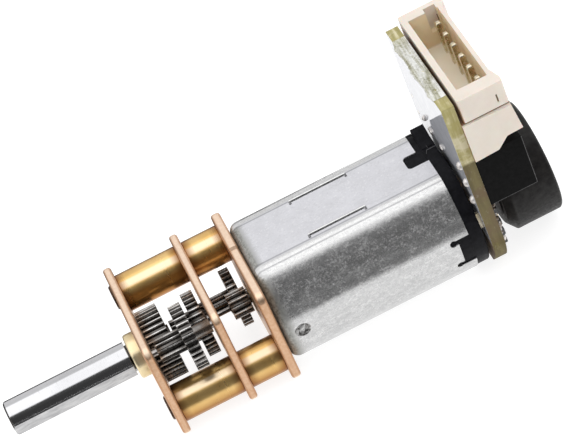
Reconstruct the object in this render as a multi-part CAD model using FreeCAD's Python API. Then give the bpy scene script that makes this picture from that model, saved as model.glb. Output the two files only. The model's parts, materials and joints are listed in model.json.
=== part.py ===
import FreeCAD, Part
import math
import os

# Geared DC motor with an encoder board: output shaft, three-plate gearbox, flat-sided motor can,
# encoder board with a six-way socket, and a magnet disc on the rear end of the motor shaft.
# Units are millimetres. +X points out along the output shaft and +Z to the socket's side.
# The origin is on the output shaft's axis, in the front face of the front plate.

V = FreeCAD.Vector
X_AXIS = V(1, 0, 0)

# ---------------------------------------------------------------- driving dimensions
PLATE_WIDTH = 12.0          # plates, along Y
PLATE_HEIGHT = 10.0         # plates, along Z
PLATE_CORNER = 0.8
PLATE_SOFTENING = 0.26      # rounding of the blanked edges
FRONT_PLATE = (-0.7, 0.0)   # rear face, front face
MIDDLE_PLATE = (-6.7, -6.0)
REAR_PLATE = (-10.6, -9.8)
REAR_PLATE_STEP = 0.2       # the upper edge is lower on the near side

MOUNT_HOLE_Y = 4.5          # two tapped holes for the customer's screws, 9 mm apart
MOUNT_HOLE_R = 0.8

POST_Y, POST_Z = 4.2, -2.9  # one post here and one diagonally opposite
POST_R = 1.6
POST_BORE_R = 0.78
SCREW_R = 0.68
SCREW_HEAD_R = 1.05
SCREW_HEAD_THICK = 0.2

SHAFT_R = 1.5
SHAFT_TIP = 11.94
SHAFT_TIP_CHAMFER = 0.15
SHAFT_FLAT = 1.2            # distance of the D flat from the axis
SHAFT_FLAT_TURN = -24.0     # the flat's direction at rest, in degrees from +Y to +Z
SHAFT_SHOULDER = 1.15       # the D section starts here, just clear of the bushing
JOURNAL_R = 1.15            # behind the shoulder, in the bushing and the output gear
BUSHING_R = 1.93
BUSHING_FRONT = 0.97
RUNNING = 0.03              # radial clearance of everything that turns on a pin or in a bushing

MODULE = 0.165
PRESSURE_ANGLE = 20.0
ADDENDUM = 0.9              # in modules
DEDENDUM = 1.2              # in modules
BACKLASH = 0.04             # thinning of each tooth at the pitch circle

MOTOR_PINION_TEETH, STAGE1_TEETH = 12, 29
STAGE1_PINION_TEETH, STAGE2_TEETH = 9, 32
STAGE2_PINION_TEETH, STAGE3_TEETH = 14, 32
STAGE3_PINION_TEETH, OUTPUT_TEETH = 10, 36

AXLE_B = (3.15, 2.117)      # stage 3 axle (y, z)
AXLE_C_DISTANCE = MODULE * (MOTOR_PINION_TEETH + STAGE1_TEETH) / 2
AXLE_C = (-0.8541 * AXLE_C_DISTANCE, -0.5201 * AXLE_C_DISTANCE)
MAIN_PIN_R = 0.35
PIN_B_R = 0.30
PIN_C_R = 0.25

CAN_R = 6.0                 # round sides of the can
CAN_FLAT = 5.0              # flat top and bottom
CAN_WALL = 0.4
CAN_CREASE = 1.7            # rounding between the flats and the round sides
LANCE_WIDTH, LANCE_DEPTH = 0.2, 0.3
LANCE_X = (-21.06, -15.87)
DIMPLE_R = 0.8              # punched into each round side of the can
DIMPLE = (-12.2, 6.42, -0.3)
CAN_FRONT, CAN_REAR = -10.6, -27.3
CAN_NOSE_R = 1.9
CAN_NOSE_FRONT = -9.8
BEARING_R = 1.25
MOTOR_SHAFT_R = 0.5
MOTOR_SHAFT = (-35.5, -7.84)

CAP_REAR = -28.45
BOARD = (-29.85, -28.77)
BOARD_TOP = 13.4
BOARD_ROUND_R = 6.2

SOCKET_REAR = -34.0
SOCKET_WALL_FRONT = -30.12  # the walls above the feet stand clear of the board
SOCKET_WALL_REAR = -33.65   # outer face of the rear wall between its end posts
SOCKET_Y = (-6.5, 6.25)
SOCKET_CAVITY_Y = (-5.45, 4.9)
SOCKET_SEAM = 11.4
SOCKET_TOP = 13.73
CONTACT_PITCH = 1.65
CONTACTS = 6
CONTACT_MIDDLE = -0.15
CONTACT_WIDTH = 0.5         # square wire
CONTACT_X = -32.7
CONTACT_TOP = 13.3

DISC_R = 4.85
DISC = (-35.7, -30.95)


# ---------------------------------------------------------------- helpers
def cylinder(x_low, x_high, radius, y=0.0, z=0.0):
    return Part.makeCylinder(radius, x_high - x_low, V(x_low, y, z), X_AXIS)


def box(x, y, z):
    return Part.makeBox(x[1] - x[0], y[1] - y[0], z[1] - z[0], V(x[0], y[0], z[0]))


def ring(x_low, x_high, outer, inner, y=0.0, z=0.0):
    return cylinder(x_low, x_high, outer, y, z).cut(cylinder(x_low - 1, x_high + 1, inner, y, z))


def edges_where(shape, test):
    return [edge for edge in shape.Edges if test(edge)]


def lies_at_x(edge, x):
    return all(abs(vertex.Point.x - x) < 1e-4 for vertex in edge.Vertexes)


def upright_at_x(edge, x):
    return lies_at_x(edge, x) and abs(edge.tangentAt(edge.FirstParameter).z) > 0.99


def flat_sided(x_low, x_high, radius, half_height, crease=0.0):
    """A round bar with a flat top and bottom, the section of the can; crease rounds its four long edges."""
    bar = cylinder(x_low, x_high, radius)
    bar = bar.common(box((x_low, x_high), (-radius - 1, radius + 1), (-half_height, half_height)))
    if crease:
        half_flat = math.sqrt(radius ** 2 - half_height ** 2)

        def is_crease(edge):
            start, end = edge.Vertexes[0].Point, edge.Vertexes[-1].Point
            return abs(start.x - end.x) > 1e-3 and abs(abs(start.y) - half_flat) < 1e-3

        bar = bar.makeFillet(crease, edges_where(bar, is_crease))
    return bar


def prism_xz(points, y_low, y_high):
    corners = [V(x, y_low, z) for x, z in points]
    face = Part.Face(Part.makePolygon(corners + corners[:1]))
    return face.extrude(V(0, y_high - y_low, 0))


def turned(profile, y=0.0, z=0.0):
    """A solid of revolution about the X direction from (x, radius) corners."""
    corners = [V(x, y + radius, z) for x, radius in profile]
    face = Part.Face(Part.makePolygon(corners + corners[:1]))
    return face.revolve(V(0, y, z), X_AXIS, 360)


def group(solids):
    return Part.makeCompound(solids)


PIECES = {}


def keep(name, shape):
    PIECES[name] = shape


# ---------------------------------------------------------------- gears
def involute(angle):
    return math.tan(angle) - angle


def tooth_flank(teeth):
    """(radius, half tooth angle) from root to tip of one tooth."""
    pitch_r = MODULE * teeth / 2
    pressure = math.radians(PRESSURE_ANGLE)
    base_r = pitch_r * math.cos(pressure)
    tip_r = pitch_r + ADDENDUM * MODULE
    root_r = pitch_r - DEDENDUM * MODULE
    half_at_pitch = math.pi / (2 * teeth) - BACKLASH / (2 * pitch_r)

    def half_angle(radius):
        here = math.acos(min(1.0, base_r / radius)) if radius > base_r else 0.0
        return half_at_pitch + involute(pressure) - involute(here)

    start = max(root_r, base_r)
    radii = [start, (start + tip_r) / 2, tip_r]
    if root_r < start - 1e-6:
        radii.insert(0, root_r)
    return [(radius, half_angle(radius)) for radius in radii]


def gear_blank(teeth, x_low, x_high, centre, phase):
    """Spur teeth from x_low to x_high; phase is the angle of one tooth, in degrees from +Y to +Z."""
    flank = tooth_flank(teeth)
    corners = []
    for number in range(teeth):
        middle = math.radians(phase) + 2 * math.pi * number / teeth
        for radius, half in flank:
            corners.append((radius, middle - half))
        for radius, half in reversed(flank):
            corners.append((radius, middle + half))
    points = [V(x_low, centre[0] + r * math.cos(a), centre[1] + r * math.sin(a)) for r, a in corners]
    face = Part.Face(Part.makePolygon(points + points[:1]))
    return face.extrude(V(x_high - x_low, 0, 0))


def direction(centre_from, centre_to):
    return math.degrees(math.atan2(centre_to[1] - centre_from[1], centre_to[0] - centre_from[0]))


def phase_of_driven(driver_teeth, driver_phase, driver_centre, teeth, centre):
    """Phase of a gear whose gap receives the driver's tooth at the pitch point."""
    towards = direction(driver_centre, centre)
    driver_pitch = 360.0 / driver_teeth
    offset = (towards - driver_phase) / driver_pitch
    fraction = offset - math.floor(offset)
    back = direction(centre, driver_centre)
    own_pitch = 360.0 / teeth
    return back + (0.5 - fraction) * own_pitch * -1.0


MAIN = (0.0, 0.0)


def make_gear_train():
    """Motor pinion, three compound wheels and the output gear, in mesh at rest."""
    phase = {}
    phase["motor_pinion"] = 90.0
    phase["stage1"] = phase_of_driven(
        MOTOR_PINION_TEETH, phase["motor_pinion"], MAIN, STAGE1_TEETH, AXLE_C)
    phase["stage1_pinion"] = 0.0
    phase["stage2"] = phase_of_driven(
        STAGE1_PINION_TEETH, phase["stage1_pinion"], AXLE_C, STAGE2_TEETH, MAIN)
    phase["stage2_pinion"] = 0.0
    phase["stage3"] = phase_of_driven(
        STAGE2_PINION_TEETH, phase["stage2_pinion"], MAIN, STAGE3_TEETH, AXLE_B)
    phase["stage3_pinion"] = 0.0
    phase["output"] = phase_of_driven(
        STAGE3_PINION_TEETH, phase["stage3_pinion"], AXLE_B, OUTPUT_TEETH, MAIN)

    pinion = gear_blank(MOTOR_PINION_TEETH, -9.6, -7.9, MAIN, phase["motor_pinion"])
    keep("motor_pinion", pinion.cut(cylinder(-10, -7, MOTOR_SHAFT_R)))

    # each compound wheel is a long pinion with a plain hub that the larger gear is pressed onto
    hub_r = 0.52
    pinion = gear_blank(STAGE1_PINION_TEETH, -8.35, -4.75, AXLE_C, phase["stage1_pinion"])
    pinion = pinion.fuse(cylinder(-9.5, -8.35, hub_r, *AXLE_C))
    keep("stage1_pinion", pinion.cut(cylinder(-10, -4, PIN_C_R + RUNNING, *AXLE_C)))
    wheel = gear_blank(STAGE1_TEETH, -9.2, -8.35, AXLE_C, phase["stage1"])
    keep("stage1_gear", wheel.cut(cylinder(-10, -8, hub_r, *AXLE_C)))

    hub_r = 0.9
    pinion = gear_blank(STAGE2_PINION_TEETH, -4.68, -2.9, MAIN, phase["stage2_pinion"])
    pinion = pinion.fuse(cylinder(-5.85, -4.68, hub_r))
    keep("stage2_pinion", pinion.cut(cylinder(-7, -2, MAIN_PIN_R + RUNNING)))
    wheel = gear_blank(STAGE2_TEETH, -5.7, -4.68, MAIN, phase["stage2"])
    keep("stage2_gear", wheel.cut(cylinder(-7, -4, hub_r)))

    hub_r = 0.6
    pinion = gear_blank(STAGE3_PINION_TEETH, -3.35, -1.12, AXLE_B, phase["stage3_pinion"])
    pinion = pinion.fuse(cylinder(-5.85, -3.35, hub_r, *AXLE_B))
    keep("stage3_pinion", pinion.cut(cylinder(-7, 0, PIN_B_R + RUNNING, *AXLE_B)))
    wheel = gear_blank(STAGE3_TEETH, -4.4, -3.35, AXLE_B, phase["stage3"])
    keep("stage3_gear", wheel.cut(cylinder(-7, -2, hub_r, *AXLE_B)))

    wheel = gear_blank(OUTPUT_TEETH, -2.6, -0.75, MAIN, phase["output"])
    keep("output_gear", wheel.cut(cylinder(-4, 0, JOURNAL_R)))


# ---------------------------------------------------------------- gearbox frame
def plate_blank(span, lowered=None):
    """A plate with rounded corners; lowered cuts a sloped step into its upper edge, from that y outwards."""
    x_low, x_high = span
    blank = box((x_low, x_high), (-PLATE_WIDTH / 2, PLATE_WIDTH / 2), (-PLATE_HEIGHT / 2, PLATE_HEIGHT / 2))
    if lowered is not None:
        top = PLATE_HEIGHT / 2
        floor = top - REAR_PLATE_STEP
        outside = PLATE_WIDTH
        points = ((lowered, top), (lowered + REAR_PLATE_STEP, floor), (outside, floor), (outside, top))
        corners = [V(x_low, y, z) for y, z in points]
        face = Part.Face(Part.makePolygon(corners + corners[:1]))
        blank = blank.cut(face.extrude(V(x_high - x_low, 0, 0)))

    def is_corner(edge):
        along = abs(edge.tangentAt(edge.FirstParameter).x) > 0.99
        return along and abs(edge.Vertexes[0].Point.y) > PLATE_WIDTH / 2 - 0.01

    blank = blank.makeFillet(PLATE_CORNER, edges_where(blank, is_corner))
    rim = edges_where(blank, lambda edge: lies_at_x(edge, x_low) or lies_at_x(edge, x_high))
    return blank.makeFillet(PLATE_SOFTENING, rim)


def drill(shape, radius, y, z, x_low=-20, x_high=5):
    return shape.cut(cylinder(x_low, x_high, radius, y, z))


POSTS = ((POST_Y, POST_Z), (-POST_Y, -POST_Z))


def make_frame():
    front = plate_blank(FRONT_PLATE)
    front = drill(front, BUSHING_R, 0, 0)
    front = drill(front, PIN_B_R, *AXLE_B)
    for y in (-MOUNT_HOLE_Y, MOUNT_HOLE_Y):
        front = drill(front, MOUNT_HOLE_R, y, 0)
    middle = plate_blank(MIDDLE_PLATE)
    middle = drill(middle, MAIN_PIN_R, 0, 0)
    middle = drill(middle, PIN_B_R, *AXLE_B)
    middle = drill(middle, 1.0, *AXLE_C)
    rear = plate_blank(REAR_PLATE, lowered=-0.8)
    rear = drill(rear, CAN_NOSE_R, 0, 0)
    rear = drill(rear, PIN_C_R, *AXLE_C)
    screws = []
    for y, z in POSTS:
        front = drill(front, POST_BORE_R, y, z)
        middle = drill(middle, POST_BORE_R, y, z)
        rear = drill(rear, SCREW_R, y, z)
        head = cylinder(0, SCREW_HEAD_THICK, SCREW_HEAD_R, y, z)
        head = head.makeFillet(0.15, edges_where(head, lambda edge: lies_at_x(edge, SCREW_HEAD_THICK)))
        slot = box((SCREW_HEAD_THICK - 0.12, 1), (y - 2, y + 2), (z - 0.14, z + 0.14))
        screws.append(head.cut(slot).fuse(cylinder(REAR_PLATE[0], 0, SCREW_R, y, z)))
    keep("front_plate", front)
    keep("middle_plate", middle)
    keep("rear_plate", rear)
    keep("gearbox_screws", group(screws))

    spans = {"front": (MIDDLE_PLATE[1], FRONT_PLATE[0]), "rear": (REAR_PLATE[1], MIDDLE_PLATE[0])}
    for name, span in spans.items():
        for place, (y, z) in zip(("lower", "upper"), POSTS):
            keep(name + "_spacer_" + place, ring(span[0], span[1], POST_R, POST_BORE_R, y, z))

    bushing = cylinder(FRONT_PLATE[0], BUSHING_FRONT, BUSHING_R)
    bushing = bushing.makeFillet(0.22, edges_where(bushing, lambda edge: lies_at_x(edge, BUSHING_FRONT)))
    keep("output_bushing", bushing.cut(cylinder(-2, 2, JOURNAL_R + RUNNING)))

    keep("main_pin", cylinder(MIDDLE_PLATE[0], -1.3, MAIN_PIN_R))
    keep("stage3_pin", cylinder(MIDDLE_PLATE[0], FRONT_PLATE[1], PIN_B_R, *AXLE_B))
    keep("stage1_pin", cylinder(REAR_PLATE[0], -4.7, PIN_C_R, *AXLE_C))


def make_output_shaft():
    shaft = cylinder(SHAFT_SHOULDER, SHAFT_TIP, SHAFT_R)
    tip = edges_where(shaft, lambda edge: lies_at_x(edge, SHAFT_TIP))
    shaft = shaft.makeChamfer(SHAFT_TIP_CHAMFER, tip)
    flat = box((SHAFT_SHOULDER - 1, SHAFT_TIP + 1), (SHAFT_FLAT, 3), (-3, 3))
    flat.rotate(V(0, 0, 0), X_AXIS, SHAFT_FLAT_TURN)
    shaft = shaft.cut(flat)
    shaft = shaft.fuse(cylinder(-2.75, SHAFT_SHOULDER, JOURNAL_R))
    # blind hole in the rear end that turns on the main pin
    keep("output_shaft", shaft.cut(cylinder(-3, -1.2, MAIN_PIN_R + RUNNING)))


# ---------------------------------------------------------------- motor
CRIMP_TOP = ((-1.0, 0.6), (-27.3, -25.5))       # y span, x span of the slot in the upper flat
CRIMP_CUT = ((-3.6, -0.7), (-27.3, -26.75))     # wider shallow cut beside it
SIDE_CUT = ((-2.05, 0.55), (-27.3, -26.3))      # z span, x span of the cut in each round side
SIDE_SLIT = 0.44             # slits beside it, each with a drilled end
SIDE_SLIT_END = -25.9
SIDE_SLIT_END_R = 0.3


def rear_openings(grow):
    """Openings in the can's rear rim; grow thins them, for the end cap's matching keys."""
    shapes = []
    for spans, corner in ((CRIMP_TOP, 0.35), (CRIMP_CUT, 0.15)):
        (y_low, y_high), (x_low, x_high) = spans
        slot = box((x_low - 1, x_high - grow), (y_low + grow, y_high - grow), (4.0, 5.4))
        inner_end = edges_where(slot, lambda edge: upright_at_x(edge, x_high - grow))
        shapes.append(slot.makeFillet(corner, inner_end))
    for side in (-1, 1):
        y_low, y_high = sorted((side * 5.0, side * 6.4))
        (z_low, z_high), (x_low, x_high) = SIDE_CUT
        shapes.append(box((x_low - 1, x_high - grow), (y_low, y_high), (z_low + grow, z_high - grow)))
        for z in (z_low, z_high):
            half = SIDE_SLIT / 2 - grow
            shapes.append(box((x_low - 1, SIDE_SLIT_END), (y_low, y_high), (z - half, z + half)))
            round_end = Part.makeCylinder(
                SIDE_SLIT_END_R - grow, y_high - y_low, V(SIDE_SLIT_END, y_low, z), V(0, 1, 0))
            shapes.append(round_end)
    return shapes


def make_can():
    outer = flat_sided(CAN_REAR, CAN_FRONT, CAN_R, CAN_FLAT, CAN_CREASE)
    outer = outer.makeFillet(0.8, edges_where(outer, lambda edge: lies_at_x(edge, CAN_FRONT)))
    inner = flat_sided(CAN_REAR - 1, CAN_FRONT - 0.5, CAN_R - CAN_WALL, CAN_FLAT - CAN_WALL)
    can = outer.cut(inner).fuse(cylinder(CAN_FRONT - 0.5, CAN_NOSE_FRONT, CAN_NOSE_R))
    can = can.cut(cylinder(-12, -9, BEARING_R))
    for opening in rear_openings(0.0):
        can = can.cut(opening)
    # two staple-shaped lances in each flat, which hold the field magnets
    for side in (-1, 1):
        for y in (-2.5, 2.2):
            can = can.cut(lance(y, side))
        # punched dimple in each round side
        can = can.cut(Part.makeSphere(DIMPLE_R, V(DIMPLE[0], side * DIMPLE[1], DIMPLE[2])))
    return can


def lance(y, side):
    z_low, z_high = sorted((side * (CAN_FLAT - LANCE_DEPTH), side * (CAN_FLAT + 0.2)))
    half = LANCE_WIDTH / 2
    long_cut = box(LANCE_X, (y - half, y + half), (z_low, z_high))
    ends = (LANCE_X[0], LANCE_X[1] - LANCE_WIDTH)
    hooks = [box((x, x + LANCE_WIDTH), (y - half, y + 0.32), (z_low, z_high)) for x in ends]
    return long_cut.fuse(hooks)


def make_motor_housing():
    can = make_can()
    keep("motor_can", can)
    keep("front_bearing", ring(-11.6, -9.75, BEARING_R, MOTOR_SHAFT_R + RUNNING))

    magnet = flat_sided(-22.5, -13.5, CAN_R - CAN_WALL, CAN_FLAT - CAN_WALL).cut(cylinder(-23, -13, 4.3))
    for name, side in (("stator_magnet_near", 1), ("stator_magnet_far", -1)):
        y_span = sorted((side * 2.6, side * 6.0))
        keep(name, magnet.common(box((-23, -13), y_span, (-4.4, 4.4))))

    # end cap: a cup inside the can, a flange behind it and keys that fill the rim's openings
    cap = flat_sided(CAN_REAR, -25.4, CAN_R - CAN_WALL, CAN_FLAT - CAN_WALL)
    flange = flat_sided(CAP_REAR, CAN_REAR, CAN_R - 0.1, CAN_FLAT - 0.1, CAN_CREASE - 0.1)
    flange = flange.makeFillet(0.15, edges_where(flange, lambda edge: lies_at_x(edge, CAP_REAR)))
    cap = cap.fuse(flange)
    # raised rib on the far half of the upper flat
    rib = ((-3.55, 4.0), (-3.5, 5.2), (-3.3, 5.4), (-2.7, 5.3), (-2.1, 5.0), (-1.0, 4.95), (-1.0, 4.0))
    corners = [V(CAP_REAR, y, z) for y, z in rib]
    rib_face = Part.Face(Part.makePolygon(corners + corners[:1]))
    cap = cap.fuse(rib_face.extrude(V(CAN_REAR - CAP_REAR, 0, 0)))
    cap = cap.cut(cylinder(-26.9, -25, 4.2))
    cap = cap.fuse(cylinder(-26.9, -26.2, 2.2))
    keys = flat_sided(CAN_REAR, -25.4, CAN_R - 0.12, CAN_FLAT - 0.12, CAN_CREASE - 0.12)
    for opening in rear_openings(0.02):
        cap = cap.fuse(keys.common(opening))
    cap = cap.removeSplitter()
    cap = cap.cut(cylinder(-30, -26, 1.3))
    for y in (-4.1, 4.1):
        cap = cap.cut(box((-30, -25), (y - 0.15, y + 0.15), (-0.8, 0.8)))
    keep("end_cap", cap)
    keep("rear_bearing", ring(-28.6, -26.2, 1.3, MOTOR_SHAFT_R + RUNNING))

    tabs = []
    for y in (-4.1, 4.1):
        tabs.append(box((-30.35, -24.2), (y - 0.15, y + 0.15), (-0.8, 0.8)))
    keep("motor_terminals", group(tabs))
    brushes = []
    for side in (-1, 1):
        block = box((-24.5, -23.7), sorted((side * 1.87, side * 2.4)), (-0.45, 0.45))
        arm = box((-24.5, -24.3), sorted((side * 2.4, side * 3.95)), (-0.45, 0.45))
        brushes.append(block.fuse(arm).removeSplitter())
    keep("brushes", group(brushes))


def sector_yz(x_low, x_high, outer, inner, middle_deg, half_deg):
    """A curved block between two radii, centred on an angle measured from +Y to +Z."""
    corners = [V(x_low, 0, 0)]
    for turn in (-half_deg, 0, half_deg):
        angle = math.radians(middle_deg + turn)
        corners.append(V(x_low, 2 * outer * math.cos(angle), 2 * outer * math.sin(angle)))
    wedge = Part.Face(Part.makePolygon(corners + corners[:1])).extrude(V(x_high - x_low, 0, 0))
    return ring(x_low, x_high, outer, inner).common(wedge)


def make_rotor():
    keep("motor_shaft", cylinder(MOTOR_SHAFT[0], MOTOR_SHAFT[1], MOTOR_SHAFT_R))

    core = cylinder(-21.5, -14.5, 1.9)
    coils = []
    for number in range(3):
        turn = 120.0 * number + 30.0
        arm = box((-21.5, -14.5), (1.2, 3.5), (-0.75, 0.75))
        arm.rotate(V(0, 0, 0), X_AXIS, turn)
        core = core.fuse(arm).fuse(sector_yz(-21.5, -14.5, 4.0, 3.2, turn, 48))
        coil = box((-22.2, -13.8), (1.95, 2.82), (-1.45, 1.45))
        coil = coil.cut(box((-21.5, -14.5), (1.0, 4.0), (-0.75, 0.75)))
        coil.rotate(V(0, 0, 0), X_AXIS, turn)
        coils.append(coil)
    core = core.removeSplitter().cut(cylinder(-30, -10, MOTOR_SHAFT_R))
    keep("armature_core", core)
    for number, coil in enumerate(coils, 1):
        keep("armature_coil_%d" % number, coil)

    sleeve = ring(-25.0, -22.6, 1.15, MOTOR_SHAFT_R).fuse(ring(-23.0, -22.6, 2.0, MOTOR_SHAFT_R))
    keep("commutator_sleeve", sleeve.removeSplitter())
    segments = [sector_yz(-24.9, -23.0, 1.85, 1.15, 120.0 * number + 90.0, 57) for number in range(3)]
    keep("commutator_segments", group(segments))

    disc = turned((
        (DISC[0], MOTOR_SHAFT_R), (DISC[0], DISC_R - 0.18), (DISC[0] + 0.18, DISC_R), (-31.7, DISC_R),
        (-31.05, 4.05), (-31.05, 3.35), (DISC[1], 3.3), (DISC[1], MOTOR_SHAFT_R)))
    keep("encoder_magnet", disc)


# ---------------------------------------------------------------- encoder board
LEAD_Z = 7.1                # height of the bent legs of the contacts
SENSOR_NEAR_Y = (4.45, 5.9)
SENSOR_FAR_Y = (-6.0, -4.6)
SENSOR_Z = (2.4, 7.5)
SENSOR_LEADS = (3.2, 5.09, 6.96)


def contact_places():
    first = CONTACT_MIDDLE - CONTACT_PITCH * (CONTACTS - 1) / 2
    return [first + CONTACT_PITCH * number for number in range(CONTACTS)]


def make_board():
    x_low, x_high = BOARD
    lower = cylinder(x_low, x_high, BOARD_ROUND_R)
    lower = lower.common(box((x_low, x_high), (-6.0, 6.0), (-4.95, 7)))
    upper = box((x_low, x_high), (-6.0, 6.0), (0, BOARD_TOP))
    board = lower.fuse(upper).removeSplitter()
    board = board.cut(cylinder(x_low - 1, x_high + 1, 1.2))
    for y in (-4.1, 4.1):
        board = board.cut(box((x_low - 1, x_high + 1), (y - 0.15, y + 0.15), (-0.8, 0.8)))
    for side in (-1, 1):
        for z in SENSOR_LEADS:
            board = drill(board, 0.2, side * 5.2, z, x_low - 1, x_high + 1)
    keep("encoder_board", board)

    sensors = []
    leads = []
    for side in (-1, 1):
        sensors.append(box((-34.0, x_low), SENSOR_NEAR_Y if side > 0 else SENSOR_FAR_Y, SENSOR_Z))
        for z in SENSOR_LEADS:
            lead_end = x_high + 0.2 if side > 0 else x_high
            leads.append(cylinder(x_low, lead_end, 0.2, side * 5.2, z))
    keep("hall_sensor_near", sensors[1])
    keep("hall_sensor_far", sensors[0])
    keep("hall_sensor_leads", group(leads))

    joints = []
    for y in (-4.1, 4.1):
        profile = ((x_low, 0.0), (x_low, 1.05), (x_low - 0.2, 0.8), (x_low - 0.42, 0.3), (x_low - 0.42, 0.0))
        dome = turned(profile, y, 0.0)
        joints.append(dome.cut(box((-31, -28), (y - 0.15, y + 0.15), (-0.8, 0.8))))
    keep("terminal_solder", group(joints))
    # the near sensor's leads are soldered on the front face; the far sensor's leads end flush
    profile = ((x_high, 0.2), (x_high, 0.38), (x_high + 0.14, 0.32), (x_high + 0.24, 0.2))
    keep("sensor_solder", group([turned(profile, 5.2, z) for z in SENSOR_LEADS]))
    fillets = []
    for y in contact_places():
        profile = ((x_low, LEAD_Z - 0.25), (x_low - 0.5, LEAD_Z - 0.25), (x_low, LEAD_Z - 0.8))
        fillets.append(prism_xz(profile, y - 0.3, y + 0.3))
    keep("contact_solder", group(fillets))

    chips = []
    for y, z in ((4.6, -2.2), (3.2, -4.1)):
        chips.append(box((x_low - 0.35, x_low), (y - 0.25, y + 0.25), (z - 0.5, z + 0.5)))
    keep("chip_resistors", group(chips))


def make_socket():
    rear, front = SOCKET_REAR, BOARD[0]
    far, near = SOCKET_Y
    body = box((rear, front), (far, near), (8.55, SOCKET_SEAM))
    # the walls' outline from above; both ends reach further back than the rear wall between them
    back = SOCKET_WALL_REAR
    outline = (
        (SOCKET_WALL_FRONT, far), (SOCKET_WALL_FRONT, near), (rear, near), (rear, near - 0.6),
        (back, near - 1.9), (back, far + 1.3), (rear, far + 0.6), (rear, far))
    corners = [V(x, y, SOCKET_SEAM) for x, y in outline]
    walls = Part.Face(Part.makePolygon(corners + corners[:1])).extrude(V(0, 0, SOCKET_TOP - SOCKET_SEAM))

    def is_outer_corner(edge):
        middle = edge.CenterOfMass
        upright = abs(edge.tangentAt(edge.FirstParameter).z) > 0.99
        return upright and (abs(middle.y - far) < 1e-6 or abs(middle.y - near) < 1e-6)

    body = body.fuse(walls.makeFillet(0.2, edges_where(walls, is_outer_corner)))
    cavity = box((back + 0.35, SOCKET_WALL_FRONT - 0.55), SOCKET_CAVITY_Y, (10.2, SOCKET_TOP + 1))
    body = body.cut(cavity)
    # keyway: a groove down the inside of the far end wall
    body = body.cut(box((-33.2, -32.2), (far + 0.5, SOCKET_CAVITY_Y[0] + 1), (11.6, SOCKET_TOP + 1)))
    # thickened foot at both ends, with a sloped relief at its lower rear corner
    foot = ((front, 7.53), (-31.94, 7.64), (-32.9, 8.53), (-34.3, 8.59), (rear, 11.2), (front, 11.3))
    for y_span in ((far - 0.1, far + 0.8), (near - 0.8, near + 0.1)):
        body = body.fuse(prism_xz(foot, *y_span))
    body = body.removeSplitter()
    # seam and mould mark on the end faces
    for y_span in ((far - 0.5, far + 0.1), (near - 0.1, near + 0.5)):
        body = body.cut(box((rear - 1, front + 1), y_span, (11.3, 11.48)))
        body = body.cut(box((-33.26, -33.12), y_span, (11.9, 12.7)))
    half = CONTACT_WIDTH / 2
    for y in contact_places():
        body = body.cut(box((CONTACT_X - half, CONTACT_X + half), (y - half, y + half), (6, 12)))
    keep("connector_housing", body)

    pins = []
    for y in contact_places():
        x_span, y_span = (CONTACT_X - half, CONTACT_X + half), (y - half, y + half)
        upright = box(x_span, y_span, (LEAD_Z - half, CONTACT_TOP))
        tip = edges_where(upright, lambda edge: all(v.Point.z > CONTACT_TOP - 1e-6 for v in edge.Vertexes))
        upright = upright.makeChamfer(0.12, tip)
        leg = box((CONTACT_X, BOARD[0]), y_span, (LEAD_Z - half, LEAD_Z + half))
        pins.append(upright.fuse(leg).removeSplitter())
    keep("connector_contacts", group(pins))


make_frame()
make_output_shaft()
make_gear_train()
make_motor_housing()
make_rotor()
make_board()
make_socket()

os.makedirs("parts", exist_ok=True)
for node, shape in PIECES.items():
    shape.exportStep("parts/" + node + ".step")
    kinds = [solid.isValid() for solid in shape.Solids]
    print(node, len(shape.Solids), "valid" if all(kinds) else "INVALID", round(shape.Volume, 4))
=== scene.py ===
import json
import math
import random

import bmesh
import bpy
from mathutils import Matrix, Vector


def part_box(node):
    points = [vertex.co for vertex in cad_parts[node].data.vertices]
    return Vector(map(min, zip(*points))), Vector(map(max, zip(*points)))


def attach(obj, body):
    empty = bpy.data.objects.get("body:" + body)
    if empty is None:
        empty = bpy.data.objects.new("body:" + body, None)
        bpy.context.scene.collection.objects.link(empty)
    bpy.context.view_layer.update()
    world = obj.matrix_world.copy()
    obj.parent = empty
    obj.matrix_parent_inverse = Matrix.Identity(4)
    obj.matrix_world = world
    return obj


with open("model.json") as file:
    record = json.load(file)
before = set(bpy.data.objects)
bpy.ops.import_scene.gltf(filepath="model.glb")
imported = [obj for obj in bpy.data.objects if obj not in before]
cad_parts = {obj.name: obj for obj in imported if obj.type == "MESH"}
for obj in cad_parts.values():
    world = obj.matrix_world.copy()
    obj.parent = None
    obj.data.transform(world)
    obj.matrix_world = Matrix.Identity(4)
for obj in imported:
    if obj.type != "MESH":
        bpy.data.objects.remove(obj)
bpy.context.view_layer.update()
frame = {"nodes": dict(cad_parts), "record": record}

NODES = frame["nodes"]
MM = 0.001
random.seed(7)

# landmarks of the part, in mm
CAN_TOP_Z = 5.0
CAN_SHOULDER_X = (-11.85, -11.15)             # where the can's rounded front end begins and ends
LANCES_Y = (-2.5, 2.2)
LANCES_X = (-21.0, -15.93)
DIMPLE_X, DIMPLE_Z = -12.2, -0.3
BOARD_REAR_X, BOARD_FRONT_X = -29.84, -28.74
BOARD_TOP_Z = 13.30
PLATE_FACES_X = (-0.70, -6.0, -6.7, -9.8)     # the plate faces that the posts stand against
SHAFT_FLAT = (0.9135, -0.4067)                # the Y and Z of the direction that the shaft's flat faces

# gear tooth module in mm, and each toothed node's axle (y, z in mm) and tooth count
MODULE = 0.165
STAGE3_AXLE = (3.15, 2.117)
STAGE1_AXLE = (-2.889, -1.759)
GEARS = {
    "motor_pinion": ((0, 0), 12),
    "stage1_gear": (STAGE1_AXLE, 29),
    "stage1_pinion": (STAGE1_AXLE, 9),
    "stage2_gear": ((0, 0), 32),
    "stage2_pinion": ((0, 0), 14),
    "stage3_gear": (STAGE3_AXLE, 32),
    "stage3_pinion": (STAGE3_AXLE, 10),
    "output_gear": ((0, 0), 36),
}


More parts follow.
